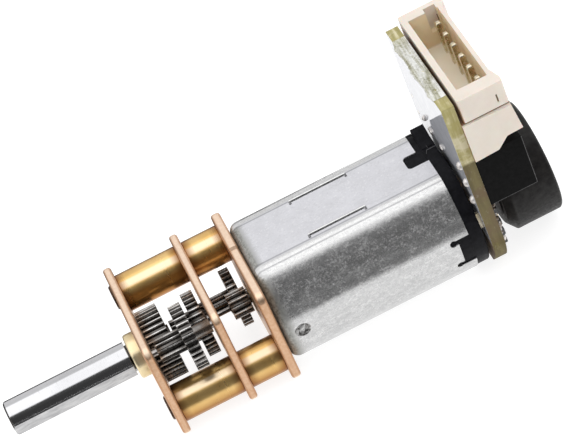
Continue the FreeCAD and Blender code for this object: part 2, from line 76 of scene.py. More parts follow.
# ---------------------------------------------------------------- shader helpers
def grey(level):
    return (level, level, level)


def new_material(name):
    mat = bpy.data.materials.new(name)
    mat.use_nodes = True
    mat.node_tree.nodes.clear()
    out = mat.node_tree.nodes.new("ShaderNodeOutputMaterial")
    shader = mat.node_tree.nodes.new("ShaderNodeBsdfPrincipled")
    mat.node_tree.links.new(shader.outputs[0], out.inputs[0])
    return mat, shader


class Graph:
    """Short calls for building one node tree. Coordinates are metres in the part's own frame."""

    def __init__(self, tree):
        self.tree = tree
        self.coords = tree.nodes.new("ShaderNodeTexCoord")

    def link(self, source, target):
        self.tree.links.new(source, target)

    def put(self, value, socket):
        if isinstance(value, (int, float)):
            socket.default_value = value
        elif isinstance(value, (tuple, list)):
            whole = len(value) == len(socket.default_value)
            socket.default_value = value if whole else tuple(value) + (1.0,)
        else:
            self.link(value, socket)

    def math(self, op, a, b=0.0):
        node = self.tree.nodes.new("ShaderNodeMath")
        node.operation = op
        self.put(a, node.inputs[0])
        self.put(b, node.inputs[1])
        return node.outputs[0]

    def place(self, stretch=(1, 1, 1), offset=(0, 0, 0)):
        node = self.tree.nodes.new("ShaderNodeMapping")
        node.inputs["Scale"].default_value = stretch
        node.inputs["Location"].default_value = offset
        self.link(self.coords.outputs["Object"], node.inputs["Vector"])
        return node.outputs[0]

    def noise(self, scale, detail=3.0, rough=0.55, stretch=(1, 1, 1), distort=0.0, offset=(0, 0, 0)):
        node = self.tree.nodes.new("ShaderNodeTexNoise")
        node.inputs["Scale"].default_value = scale
        node.inputs["Detail"].default_value = detail
        node.inputs["Roughness"].default_value = rough
        node.inputs["Distortion"].default_value = distort
        self.link(self.place(stretch, offset), node.inputs["Vector"])
        return node.outputs["Fac"]

    def ramp(self, fac, stops):
        node = self.tree.nodes.new("ShaderNodeValToRGB")
        elements = node.color_ramp.elements
        while len(elements) < len(stops):
            elements.new(0.5)
        for element, (position, colour) in zip(elements, stops):
            element.position = position
            element.color = tuple(colour) + (1.0,) if len(colour) == 3 else colour
        self.link(fac, node.inputs[0])
        return node.outputs[0]

    def remap(self, value, low, high, to_low=0.0, to_high=1.0):
        node = self.tree.nodes.new("ShaderNodeMapRange")
        self.put(value, node.inputs["Value"])
        node.inputs["From Min"].default_value = low
        node.inputs["From Max"].default_value = high
        node.inputs["To Min"].default_value = to_low
        node.inputs["To Max"].default_value = to_high
        return node.outputs[0]

    def mix(self, fac, a, b):
        node = self.tree.nodes.new("ShaderNodeMix")
        node.data_type = "RGBA"
        self.put(fac, node.inputs[0])
        self.put(a, node.inputs[6])
        self.put(b, node.inputs[7])
        return node.outputs[2]

    def bump(self, height, strength, distance):
        node = self.tree.nodes.new("ShaderNodeBump")
        node.inputs["Strength"].default_value = strength
        node.inputs["Distance"].default_value = distance
        self.link(height, node.inputs["Height"])
        return node.outputs[0]

    def axis(self, which, source="Object"):
        node = self.tree.nodes.new("ShaderNodeSeparateXYZ")
        self.link(self.coords.outputs[source], node.inputs[0])
        return node.outputs["XYZ".index(which)]

    def facing(self, which):
        """How far the flat face itself faces along an axis of the scene, either way, from 0 to 1."""
        geometry = self.tree.nodes.new("ShaderNodeNewGeometry")
        node = self.tree.nodes.new("ShaderNodeSeparateXYZ")
        self.link(geometry.outputs["True Normal"], node.inputs[0])
        return self.math("ABSOLUTE", node.outputs["XYZ".index(which)])

    def normal(self, which):
        """The surface's direction along one axis of its own object, from -1 to 1."""
        return self.axis(which, "Normal")

    def towards(self, y, z):
        """How far the surface faces the direction (y, z) of its own object, from -1 to 1."""
        along_y = self.math("MULTIPLY", self.normal("Y"), y)
        along_z = self.math("MULTIPLY", self.normal("Z"), z)
        return self.math("ADD", along_y, along_z)

    def near(self, centre, radius, softness):
        """1 within radius of a point of the part (metres), 0 beyond, with a soft edge."""
        node = self.tree.nodes.new("ShaderNodeVectorMath")
        node.operation = "DISTANCE"
        self.link(self.coords.outputs["Object"], node.inputs[0])
        node.inputs[1].default_value = centre
        return self.remap(node.outputs["Value"], radius + softness, radius)

    def band(self, value, middle, half_width, softness):
        """1 inside a band of the value, 0 outside it, with soft edges."""
        away = self.math("ABSOLUTE", self.math("SUBTRACT", value, middle))
        return self.remap(away, half_width + softness, half_width)


def finish_of(name, dark, light, metallic, rough, scale=3000.0, stretch=(1, 1, 1), bump=0.15,
              grain=9000.0, contrast=(0.35, 0.65), specular=0.5, relief=0.01):
    """A surface whose colour and roughness wander between two values, with fine grain in its relief.

    scale and grain are the noise scales of the colour and the grain; relief is the grain's depth in mm.
    """
    mat, shader = new_material(name)
    g = Graph(mat.node_tree)
    cloud = g.noise(scale, 4.0, 0.6, stretch)
    fine = g.noise(grain, 2.0, 0.5, stretch, offset=(0.3, 0.1, 0.2))
    colour = g.ramp(cloud, ((contrast[0], dark), (contrast[1], light)))
    g.put(colour, shader.inputs["Base Color"])
    shader.inputs["Metallic"].default_value = metallic
    g.put(g.remap(fine, 0.3, 0.7, rough[0], rough[1]), shader.inputs["Roughness"])
    shader.inputs["Specular IOR Level"].default_value = specular
    if bump:
        g.put(g.bump(fine, bump, relief * MM), shader.inputs["Normal"])
    return mat


# ---------------------------------------------------------------- materials
def both_dimples(g, y, radius, softness):
    """A mask over the can's two dimples, at y on either side (mm)."""
    spots = []
    for side in (1, -1):
        centre = (DIMPLE_X * MM, side * y * MM, DIMPLE_Z * MM)
        spots.append(g.near(centre, radius * MM, softness * MM))
    return g.math("MAXIMUM", *spots)


def zinc_plate():
    """The can: smooth pale flats, mottled round sides, and a speckled darker front shoulder."""
    mat, shader = new_material("mottled zinc")
    g = Graph(mat.node_tree)
    cloud = g.noise(900, 5.0, 0.62)
    flecks = g.noise(5000, 5.0, 0.75, (0.7, 1, 1), offset=(0.2, 0.5, 0.1))
    blotch = g.noise(1500, 3.0, 0.6, (0.7, 1, 1), offset=(0.4, 0.9, 0.5))
    round_side = g.ramp(flecks, ((0.34, grey(0.50)), (0.50, grey(0.60)),
                                 (0.66, (0.76, 0.76, 0.75))))
    round_side = g.mix(g.remap(blotch, 0.40, 0.62, 0.0, 0.45), round_side, grey(0.44))
    flat = g.ramp(cloud, ((0.3, (0.69, 0.69, 0.715)), (0.7, (0.77, 0.77, 0.80))))
    glints = g.noise(6500, 2.0, 0.6, offset=(0.6, 0.1, 0.9))
    flat = g.mix(g.remap(glints, 0.60, 0.70, 0.0, 0.6), flat, (0.92, 0.92, 0.93))
    flat = g.mix(g.remap(glints, 0.40, 0.32, 0.0, 0.4), flat, (0.56, 0.56, 0.58))
    is_flat = g.remap(g.facing("Z"), 0.985, 0.998)
    colour = g.mix(is_flat, round_side, flat)
    drawn = g.noise(2600, 2.0, 0.5, (0.06, 1, 1), offset=(0.9, 0.1, 0.3))
    colour = g.mix(g.remap(drawn, 0.62, 0.72, 0.0, 0.2), colour, (0.45, 0.45, 0.46))
    # shoulder at the front, darker, with darker pores
    x = g.axis("X")
    pores = g.noise(5200, 3.0, 0.7, offset=(0.4, 0.2, 0.6))
    uneven = g.math("ADD", x, g.math("MULTIPLY", g.math("SUBTRACT", pores, 0.5), 0.9 * MM))
    shoulder = g.remap(uneven, CAN_SHOULDER_X[0] * MM, CAN_SHOULDER_X[1] * MM)
    pore_colour = g.ramp(pores, ((0.38, (0.14, 0.14, 0.12)), (0.60, (0.40, 0.40, 0.37))))
    colour = g.mix(g.math("MULTIPLY", shoulder, 0.85), colour, pore_colour)
    # thin dark lines beside each flat, and a painted dark reflection along the far rim
    side = g.math("ABSOLUTE", g.axis("Y"))
    inner = g.band(side, 2.64 * MM, 0.04 * MM, 0.08 * MM)
    outer = g.band(side, 3.36 * MM, 0.035 * MM, 0.07 * MM)
    upper = g.remap(g.facing("Z"), 0.70, 0.74)
    lines = g.math("MULTIPLY", g.math("MAXIMUM", inner, outer), upper)
    crease = g.math("MULTIPLY", g.remap(side, 2.72 * MM, 2.84 * MM), g.remap(side, 4.15 * MM, 3.9 * MM))
    crease_colour = g.ramp(flecks, ((0.34, grey(0.56)), (0.66, (0.72, 0.72, 0.71))))
    colour = g.mix(g.math("MULTIPLY", crease, upper), colour, crease_colour)
    # painted dark reflection along the far rim of the upper flat
    painted_far_rim_reflection = g.remap(g.axis("Y"), -3.62 * MM, -3.72 * MM)
    lines = g.math("MAXIMUM", lines, g.math("MULTIPLY", painted_far_rim_reflection, upper))
    # the dark colour paints the thin lines and the far rim's painted dark reflection
    colour = g.mix(g.math("MULTIPLY", lines, 0.5), colour, (0.18, 0.18, 0.19))
    # torn metal inside the punched dimples
    torn = g.noise(5500, 3.0, 0.7, offset=(0.1, 0.8, 0.3))
    pit = both_dimples(g, 6.0, 0.60, 0.10)
    core = both_dimples(g, 5.85, 0.30, 0.16)
    torn_colour = g.ramp(torn, ((0.40, (0.07, 0.065, 0.06)), (0.52, (0.30, 0.29, 0.28)),
                                (0.62, (0.70, 0.70, 0.69))))
    torn_core = g.ramp(torn, ((0.34, (0.16, 0.15, 0.14)), (0.44, (0.55, 0.55, 0.54)),
                              (0.6, (0.85, 0.85, 0.84))))
    colour = g.mix(pit, colour, g.mix(core, torn_colour, torn_core))
    g.put(colour, shader.inputs["Base Color"])
    dust = g.math("ADD", g.noise(5200, 3.0, 0.7, offset=(0.9, 0.6, 0.2)),
                  g.math("MULTIPLY", g.math("SUBTRACT", blotch, 0.5), -0.5))
    side_metal = g.remap(dust, 0.46, 0.72, 0.86, 0.64)
    g.put(g.math("MAXIMUM", side_metal, is_flat), shader.inputs["Metallic"])
    rough = g.mix(is_flat, g.remap(flecks, 0.3, 0.7, 0.17, 0.25), grey(0.36))
    rough = g.mix(g.math("MAXIMUM", pit, shoulder), rough, grey(0.5))
    g.put(rough, shader.inputs["Roughness"])
    side_relief = g.math("MULTIPLY", flecks, g.math("SUBTRACT", 1.0, g.math("MULTIPLY", is_flat, 0.8)))
    relief = g.math("ADD", side_relief, g.math("MULTIPLY", g.math("MULTIPLY", pores, shoulder), 1.6))
    relief = g.math("ADD", relief, g.math("MULTIPLY", g.math("MULTIPLY", torn, pit), 4.0))
    g.put(g.bump(relief, 0.36, 0.0036 * MM), shader.inputs["Normal"])
    return mat


def turned_brass(name, dark, light, rough, specks, metallic, stained=False):
    """Bar stock turned on a lathe: faint rings round the axis, soft cloudiness, a few dark specks.

    stained adds painted brown shade on the underside and beside the plates, and a painted highlight that
    makes the top paler.
    """
    mat, shader = new_material(name)
    g = Graph(mat.node_tree)
    cloud = g.noise(420, 3.0, 0.5)
    rings = g.noise(2600, 2.0, 0.5, (1, 0.04, 0.04), offset=(0.2, 0.1, 0.4))
    colour = g.ramp(cloud, ((0.34, dark), (0.66, light)))
    speckle = g.noise(5200, 2.0, 0.5, offset=(0.8, 0.3, 0.1))
    colour = g.mix(g.remap(speckle, 0.68, 0.76, 0.0, specks), colour, tuple(0.45 * c for c in dark))
    if stained:
        across = g.towards(0.57, 0.82)
        above = g.towards(0.469, 0.883)
        # painted highlight: faces that look up, towards the light, are paler
        colour = g.mix(g.remap(above, 0.968, 0.992, 0.0, 0.70), colour, (0.92, 0.79, 0.60))
        # painted shade: faces turned away from the light turn dark brown
        colour = g.mix(g.remap(across, 0.78, 0.30, 0.0, 0.85), colour, (0.36, 0.145, 0.03))
        # painted shade: on the upper posts, faces that look to the near side and a little down turn brown
        upper = g.remap(g.axis("Z"), -0.5 * MM, 0.5 * MM)
        below = g.towards(0.985, -0.17)
        under = g.math("MULTIPLY", upper, g.remap(below, 0.66, 0.84))
        colour = g.mix(under, colour, (0.54, 0.24, 0.055))
        # painted shade: brown where the posts meet the plates
        x = g.axis("X")
        ends = g.band(x, PLATE_FACES_X[0] * MM, 0.06 * MM, 0.70 * MM)
        for face in PLATE_FACES_X[1:]:
            ends = g.math("MAXIMUM", ends, g.band(x, face * MM, 0.06 * MM, 0.70 * MM))
        colour = g.mix(g.math("MULTIPLY", ends, 0.85), colour, (0.24, 0.085, 0.02))
    g.put(colour, shader.inputs["Base Color"])
    shader.inputs["Metallic"].default_value = metallic
    g.put(g.remap(rings, 0.3, 0.7, rough[0], rough[1]), shader.inputs["Roughness"])
    g.put(g.bump(rings, 0.06, 0.002 * MM), shader.inputs["Normal"])
    return mat


def glass_epoxy():
    """The board: glossy white faces, darker brown at the lower end, with layered olive laminate at the edges
    and painted shade on the edges below the socket's lower end.
    """
    mat, shader = new_material("glass-epoxy board")
    g = Graph(mat.node_tree)
    z = g.axis("Z")
    layers = g.noise(2400, 3.0, 0.6, (1.0, 0.10, 0.10))
    patches = g.noise(620, 4.0, 0.6, (0.6, 1.0, 1.0), offset=(0.5, 0.2, 0.8))
    fibre = g.noise(5200, 3.0, 0.65, (0.6, 0.35, 0.35), offset=(0.1, 0.7, 0.2))
    olive = g.ramp(layers, ((0.36, (0.27, 0.235, 0.075)), (0.50, (0.38, 0.335, 0.15)),
                            (0.64, (0.58, 0.53, 0.33))))
    olive = g.mix(g.remap(patches, 0.48, 0.60, 0.0, 0.75), olive, (0.33, 0.29, 0.095))
    olive = g.mix(g.remap(patches, 0.46, 0.36, 0.0, 0.6), olive, (0.62, 0.57, 0.42))
    # painted shade: a darker copy of the laminate for the edges below the socket's lower end
    low = g.ramp(layers, ((0.34, (0.088, 0.068, 0.022)), (0.66, (0.15, 0.12, 0.040))))
    low = g.mix(g.remap(patches, 0.46, 0.60, 0.0, 0.7), low, (0.12, 0.075, 0.036))
    # painted shade on the edges below the socket's lower end
    edge = g.mix(g.remap(z, 7.35 * MM, 7.6 * MM), low, olive)
    edge = g.mix(g.remap(fibre, 0.60, 0.75, 0.0, 0.22), edge, (0.60, 0.56, 0.42))
    mask = g.ramp(g.noise(1200, 3.0, 0.6), ((0.3, (0.53, 0.54, 0.585)), (0.7, (0.62, 0.63, 0.665))))
    # towards the lower end the faces turn darker brown and rougher
    stained = g.ramp(fibre, ((0.35, (0.09, 0.055, 0.035)), (0.65, (0.24, 0.17, 0.11))))
    low_end = g.remap(z, -0.6 * MM, -1.6 * MM)
    mask = g.mix(low_end, mask, stained)
    on_face = g.remap(g.facing("X"), 0.7, 0.8)
    g.put(g.mix(on_face, edge, mask), shader.inputs["Base Color"])
    rough = g.mix(on_face, grey(0.55), grey(0.07))
    rough = g.mix(low_end, rough, grey(0.75))
    g.put(rough, shader.inputs["Roughness"])
    grain = g.math("MULTIPLY", g.math("ADD", layers, fibre), g.math("SUBTRACT", 1.0, on_face))
    g.put(g.bump(grain, 0.35, 0.02 * MM), shader.inputs["Normal"])
    return mat


def torn_fibre():
    """Whitish glass fibre with thin olive streaks, where the board was snapped off."""
    mat, shader = new_material("torn glass fibre")
    g = Graph(mat.node_tree)
    strands = g.noise(2600, 4.0, 0.65, (1.0, 0.12, 0.3))
    tufts = g.noise(3200, 3.0, 0.6, offset=(0.3, 0.3, 0.6))
    colour = g.ramp(strands, ((0.34, (0.27, 0.26, 0.15)), (0.46, (0.50, 0.49, 0.40)),
                              (0.60, (0.76, 0.76, 0.73))))
    colour = g.mix(g.remap(tufts, 0.60, 0.72, 0.0, 0.5), colour, (0.42, 0.40, 0.30))
    g.put(colour, shader.inputs["Base Color"])
    shader.inputs["Roughness"].default_value = 0.7
    g.put(g.bump(strands, 0.5, 0.03 * MM), shader.inputs["Normal"])
    return mat


def natural_nylon():
    """The socket: pale outside, with painted light in its cavity, dark brown in its seam and tool mark, and
    painted shade on the wall next to the board.
    """
    mat, shader = new_material("natural nylon")
    g = Graph(mat.node_tree)
    cloud = g.noise(450, 4.0, 0.6)
    fine = g.noise(6000, 2.0, 0.5)
    outside = g.ramp(cloud, ((0.3, (0.68, 0.61, 0.53)), (0.7, (0.73, 0.67, 0.595))))
    # painted light: the cavity's walls and floor get their own warmer copies of the nylon, the floor painted
    # brightest
    walls = g.ramp(cloud, ((0.3, (0.76, 0.63, 0.42)), (0.7, (0.82, 0.70, 0.50))))
    floor = g.ramp(cloud, ((0.3, (0.90, 0.83, 0.70)), (0.7, (0.93, 0.87, 0.76))))
    x, y, z = g.axis("X"), g.axis("Y"), g.axis("Z")
    soft = 0.02 * MM
    in_x = g.band(x, -31.985 * MM, 1.34 * MM, soft)
    in_y = g.band(y, -0.275 * MM, 5.70 * MM, soft)
    in_z = g.remap(z, 13.72 * MM, 13.5 * MM)
    cavity = g.math("MULTIPLY", g.math("MULTIPLY", in_x, in_y), in_z)
    # the cavity's painted light: the bright floor copy at the bottom, the walls' copy above
    inside = g.mix(g.remap(z, 10.4 * MM, 10.25 * MM), walls, floor)
    # painted shade on the front wall's outer face below the rim, next to the board
    shade = g.math("MULTIPLY", g.remap(x, -30.35 * MM, -30.2 * MM), g.remap(g.facing("X"), 0.6, 0.8))
    shade = g.math("MULTIPLY", shade, g.remap(z, 13.65 * MM, 12.7 * MM))
    outside = g.mix(shade, outside, (0.34, 0.21, 0.11))
    # moulding seam and tool mark, coloured dark brown
    seam = g.band(z, 11.39 * MM, 0.075 * MM, 0.01 * MM)
    mark = g.math("MULTIPLY", g.band(x, -33.19 * MM, 0.06 * MM, 0.01 * MM),
                  g.band(z, 12.3 * MM, 0.39 * MM, 0.01 * MM))
    outside = g.mix(g.math("MAXIMUM", seam, mark), outside, (0.20, 0.125, 0.07))
    g.put(g.mix(cavity, outside, inside), shader.inputs["Base Color"])
    g.put(g.remap(fine, 0.3, 0.7, 0.38, 0.5), shader.inputs["Roughness"])
    shader.inputs["Specular IOR Level"].default_value = 0.35
    shader.inputs["Subsurface Weight"].default_value = 0.25
    shader.inputs["Subsurface Scale"].default_value = 0.6 * MM
    g.put(g.bump(fine, 0.12, 0.01 * MM), shader.inputs["Normal"])
    return mat


def rose_plate():
    """Copper-toned plates: satin and speckled, with painted light on faces that look up, painted shade on
    faces that look sideways and along their rounded rims, and painted highlights at the corners.
    """
    mat = finish_of("rose copper plate", (0.68, 0.43, 0.27), (0.82, 0.59, 0.41), 0.82, (0.30, 0.42),
                    scale=3800, bump=0.4, grain=6500, contrast=(0.36, 0.62), relief=0.008)
    shader = mat.node_tree.nodes["Principled BSDF"]
    base = shader.inputs["Base Color"].links[0].from_socket
    g = Graph(mat.node_tree)
    out_y = g.remap(g.math("ABSOLUTE", g.axis("Y")), 5.45 * MM, 5.75 * MM)
    out_z = g.remap(g.math("ABSOLUTE", g.axis("Z")), 4.40 * MM, 4.75 * MM)
    corner = g.math("MULTIPLY", out_y, out_z)
    across = g.facing("X")
    rim = g.math("MULTIPLY", g.remap(across, 0.25, 0.60), g.remap(across, 0.997, 0.96))
    # painted light: faces that look up are lighter
    colour = g.mix(g.math("MULTIPLY", g.facing("Z"), 0.52), base, (1.0, 0.82, 0.66))
    # painted shade: faces that look along Y are darker
    colour = g.mix(g.math("MULTIPLY", g.facing("Y"), 0.50), colour, (0.56, 0.32, 0.18))
    # painted highlight at the corners
    colour = g.mix(corner, colour, (1.0, 0.80, 0.60))
    # painted shade along the rounded rims of each face
    colour = g.mix(g.math("MULTIPLY", rim, 0.65), colour, (0.42, 0.19, 0.075))
    g.put(colour, shader.inputs["Base Color"])
    # less metal at the corners makes their painted highlight brighter
    g.put(g.remap(corner, 0.0, 1.0, 0.82, 0.35), shader.inputs["Metallic"])
    return mat


def gear_steel(name, axle, teeth):
    """Sintered steel, with painted shade between the teeth and painted highlights, in patches, on their
    tips.
    """
    mat = finish_of(name, (0.17, 0.16, 0.15), (0.30, 0.285, 0.27), 0.95, (0.24, 0.32), scale=1100,
                    bump=0.08, grain=7000, relief=0.005)
    shader = mat.node_tree.nodes["Principled BSDF"]
    base = shader.inputs["Base Color"].links[0].from_socket
    g = Graph(mat.node_tree)
    y = g.math("SUBTRACT", g.axis("Y"), axle[0] * MM)
    z = g.math("SUBTRACT", g.axis("Z"), axle[1] * MM)
    radius = g.math("SQRT", g.math("ADD", g.math("MULTIPLY", y, y), g.math("MULTIPLY", z, z)))
    pitch_r = 0.5 * MODULE * teeth
    tip_r = (pitch_r + 0.9 * MODULE) * MM
    root_r = (pitch_r - 1.2 * MODULE) * MM
    in_teeth = g.remap(radius, root_r - 0.02 * MM, root_r + 0.01 * MM)
    # painted shade between the teeth
    painted_gap_shade = g.math("MULTIPLY", in_teeth, g.remap(radius, root_r + 0.20 * MM, root_r + 0.04 * MM))
    colour = g.mix(g.math("MULTIPLY", painted_gap_shade, 0.85), base, (0.020, 0.017, 0.015))
    # painted highlight on the tips, in patches
    painted_tip_highlight = g.remap(radius, tip_r - 0.045 * MM, tip_r - 0.02 * MM)
    tip_highlight_patches = g.remap(g.noise(1300, 3.0, 0.6, offset=(0.2, 0.6, 0.9)), 0.38, 0.60, 0.25, 1.0)
    colour = g.mix(g.math("MULTIPLY", painted_tip_highlight, tip_highlight_patches), colour, (0.72, 0.71, 0.69))
    g.put(colour, shader.inputs["Base Color"])
    return mat


def ground_steel():
    """Shaft: ground, with very fine lines round it, painted shade where it enters the boss and a painted
    dark reflection on its end chamfer, and duller on its milled flat.
    """
    mat, shader = new_material("ground steel")
    g = Graph(mat.node_tree)
    cloud = g.noise(500, 4.0, 0.6, (0.4, 1, 1))
    lines = g.noise(7000, 2.0, 0.5, (1.0, 0.15, 0.15), offset=(0.5, 0.2, 0.1))
    colour = g.ramp(cloud, ((0.3, (0.57, 0.57, 0.58)), (0.7, (0.67, 0.67, 0.68))))
    colour = g.mix(g.remap(lines, 0.60, 0.75, 0.0, 0.18), colour, (0.35, 0.35, 0.36))
    x = g.axis("X")
    near_end = g.remap(x, 11.78 * MM, 11.82 * MM)
    on_chamfer = g.math("MULTIPLY", near_end, g.remap(g.facing("X"), 0.97, 0.93))
    # painted shade where the shaft enters the boss, and a painted dark reflection on the end chamfer
    painted_boss_shade_and_chamfer_reflection = g.math("MAXIMUM", g.remap(x, 1.18 * MM, 1.12 * MM), on_chamfer)
    colour = g.mix(painted_boss_shade_and_chamfer_reflection, colour, (0.05, 0.045, 0.04))
    # the milled flat is duller, with slanting smears
    on_flat = g.remap(g.towards(*SHAFT_FLAT), 0.985, 0.995)
    smears = g.noise(700, 3.0, 0.6, (0.7, 1.0, 1.6), distort=0.6, offset=(0.2, 0.9, 0.3))
    milled = g.ramp(smears, ((0.36, (0.37, 0.37, 0.375)), (0.50, (0.47, 0.47, 0.475)),
                             (0.64, grey(0.55))))
    colour = g.mix(on_flat, colour, milled)
    g.put(colour, shader.inputs["Base Color"])
    shader.inputs["Metallic"].default_value = 1.0
    g.put(g.remap(lines, 0.3, 0.7, 0.09, 0.16), shader.inputs["Roughness"])
    g.put(g.bump(lines, 0.12, 0.003 * MM), shader.inputs["Normal"])
    return mat


MATS = {
    "plate_copper": rose_plate(),
    # the gold posts carry painted shade and a painted highlight
    "post_brass": turned_brass("turned gold brass", (0.74, 0.46, 0.155), (0.84, 0.58, 0.24), (0.27, 0.30),
                               0.6, 0.86, stained=True),
    "bushing_brass": turned_brass("pale brass", (0.78, 0.62, 0.34), (0.90, 0.78, 0.52), (0.29, 0.34),
                                  0.3, 0.88),
    "shaft_steel": ground_steel(),
    "pin_steel": finish_of("pin steel", (0.34, 0.33, 0.32), (0.50, 0.49, 0.48), 1.0, (0.2, 0.3)),
    "screw_steel": finish_of("blackened screw steel", (0.055, 0.03, 0.018), (0.13, 0.075, 0.045), 0.9,
                             (0.3, 0.5)),
    "can_zinc": zinc_plate(),
    "bearing_bronze": finish_of("sintered bronze", (0.30, 0.18, 0.08), (0.50, 0.33, 0.17), 1.0, (0.4, 0.6)),
    "ferrite": finish_of("ferrite", (0.03, 0.03, 0.032), (0.07, 0.07, 0.075), 0.0, (0.5, 0.7)),
    "cap_plastic": finish_of("black cap plastic", (0.004, 0.004, 0.005), (0.009, 0.009, 0.011), 0.0,
                             (0.42, 0.55), scale=2500, bump=0.35, grain=6000, specular=0.08),
    "tinned_brass": finish_of("tinned brass", (0.55, 0.46, 0.30), (0.84, 0.77, 0.62), 1.0, (0.16, 0.3),
                              scale=2500),
    "brush_copper": finish_of("brush copper", (0.50, 0.26, 0.14), (0.70, 0.40, 0.25), 1.0, (0.3, 0.4)),
    "board_laminate": glass_epoxy(),
    "sensor_epoxy": finish_of("sensor epoxy", grey(0.004), grey(0.007), 0.0,
                              (0.4, 0.55), grain=7000, bump=0.2, specular=0.05),
    "solder": finish_of("solder", (0.66, 0.63, 0.60), (0.86, 0.82, 0.79), 0.75, (0.34, 0.50),
                        scale=2500, bump=0.4, grain=4000, relief=0.02),
    "chip_ceramic": finish_of("chip ceramic", grey(0.02), grey(0.06), 0.0, (0.3, 0.5)),
    "socket_nylon": natural_nylon(),
    "core_steel": finish_of("laminations", (0.25, 0.25, 0.26), (0.40, 0.40, 0.41), 1.0, (0.3, 0.5),
                            stretch=(12, 1, 1)),
    "winding_copper": finish_of("enamelled copper", (0.45, 0.14, 0.04), (0.75, 0.32, 0.12), 1.0, (0.2, 0.35),
                                stretch=(1, 8, 8)),
    "sleeve_plastic": finish_of("phenolic", (0.12, 0.05, 0.02), (0.20, 0.09, 0.04), 0.0, (0.4, 0.6)),
    "commutator_copper": finish_of("commutator copper", (0.55, 0.30, 0.18), (0.78, 0.48, 0.32), 1.0,
                                   (0.2, 0.35)),
    "magnet_black": finish_of("matt black magnet", (0.008, 0.007, 0.007), (0.020, 0.019, 0.018), 0.0,
                              (0.40, 0.58), scale=1500, bump=0.6, grain=4500, specular=0.2, relief=0.03),
}

# ---------------------------------------------------------------- CAD nodes: material and softened edges
SPACERS = [side + "_spacer_" + place for side in ("front", "rear") for place in ("lower", "upper")]
# node, width of the softened edge in mm; 0 keeps the CAD edge as it is
EDGE_WIDTH = {
    "front_plate": 0.0, "middle_plate": 0.0, "rear_plate": 0.0,
    "sensor_solder": 0.0, "terminal_solder": 0.0,
    "gearbox_screws": 0.04, "output_bushing": 0.05, "output_shaft": 0.02,
    **{spacer: 0.06 for spacer in SPACERS},
    "motor_can": 0.04, "end_cap": 0.05, "encoder_board": 0.04,
    "hall_sensor_near": 0.07, "hall_sensor_far": 0.07, "encoder_magnet": 0.06,
    "chip_resistors": 0.03, "connector_housing": 0.09, "connector_contacts": 0.03,
    **{gear: 0.018 for gear in GEARS},
}
SHARP_DEG = 28.0                              # an edge that turns more than this is a sharp one


def soften(obj, width):
    """Joins a CAD mesh's faces at their shared edges, and rounds its sharp edges by width (mm) if any."""
    weld = obj.modifiers.new("weld", "WELD")
    weld.merge_threshold = 0.0005 * MM
    if width:
        flat = obj.modifiers.new("flat", "DECIMATE")
        flat.decimate_type = "DISSOLVE"
        flat.angle_limit = math.radians(0.4)
        bevel = obj.modifiers.new("edge", "BEVEL")
        bevel.width = width * MM
        bevel.segments = 2
        bevel.limit_method = "ANGLE"
        bevel.angle_limit = math.radians(SHARP_DEG)
        bevel.use_clamp_overlap = True
    else:
        split = obj.modifiers.new("split", "EDGE_SPLIT")
        split.split_angle = math.radians(SHARP_DEG)
        split.use_edge_sharp = False
    weighted = obj.modifiers.new("normals", "WEIGHTED_NORMAL")
    weighted.keep_sharp = False
    weighted.weight = 60


slot_of = {part["node"]: part["material_slot"] for part in frame["record"]["subparts"]}
for node, obj in NODES.items():
    obj.data.materials.clear()
    if node in GEARS:
        obj.data.materials.append(gear_steel(node + " steel", *GEARS[node]))
    else:
        obj.data.materials.append(MATS[slot_of[node]])
    if node in EDGE_WIDTH:
        if "custom_normal" in obj.data.attributes:
            obj.data.attributes.remove(obj.data.attributes["custom_normal"])
        for polygon in obj.data.polygons:
            polygon.use_smooth = True
        soften(obj, EDGE_WIDTH[node])


# ---------------------------------------------------------------- pieces made here
def add_piece(name, mesh, slot, body="housing", look=None):
    """Adds a piece that rides on a body; look is its material where it isn't the slot's own."""
    mesh.materials.append(look or MATS[slot])
    for polygon in mesh.polygons:
        polygon.use_smooth = True
    mesh.set_sharp_from_angle(angle=math.radians(40))
    obj = bpy.data.objects.new(name, mesh)
    bpy.context.scene.collection.objects.link(obj)
    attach(obj, body)


def mesh_from(name, bm):
    bmesh.ops.recalc_face_normals(bm, faces=bm.faces)
    mesh = bpy.data.meshes.new(name)
    bm.to_mesh(mesh)
    bm.free()
    return mesh


def add_ridge(bm, start, end, across, out, width, height):
    """A low rounded ridge from start to end; across and out are unit vectors, lengths in mm."""
    section = ((-0.5, -0.4), (-0.42, 0.45), (-0.2, 0.9), (0.0, 1.0), (0.2, 0.9), (0.42, 0.45), (0.5, -0.4))
    loops = []
    for base in (start, end):
        loop = []
        for side, up in section:
            point = Vector(base) + Vector(across) * side * width + Vector(out) * up * height
            loop.append(bm.verts.new(point * MM))
        loops.append(loop)
    for first, second in zip(range(len(section)), range(1, len(section))):
        bm.faces.new((loops[0][first], loops[0][second], loops[1][second], loops[1][first]))
    bm.faces.new(loops[0])
    bm.faces.new(list(reversed(loops[1])))


def make_lance_lips():
    """Bright thrown-up metal along the far side of each lance in the can's upper flat."""
    bright = finish_of("burnished lip", grey(0.62), (0.74, 0.74, 0.73), 1.0, (0.3, 0.4), bump=0.1)
    away, width, height = 0.20, 0.22, 0.06
    bm = bmesh.new()
    for lance_y in LANCES_Y:
        rear, front = ((x, lance_y - away, CAN_TOP_Z) for x in LANCES_X)
        add_ridge(bm, rear, front, (0, 1, 0), (0, 0, 1), width, height)
    add_piece("lance_lips", mesh_from("lance_lips", bm), "can_zinc", look=bright)


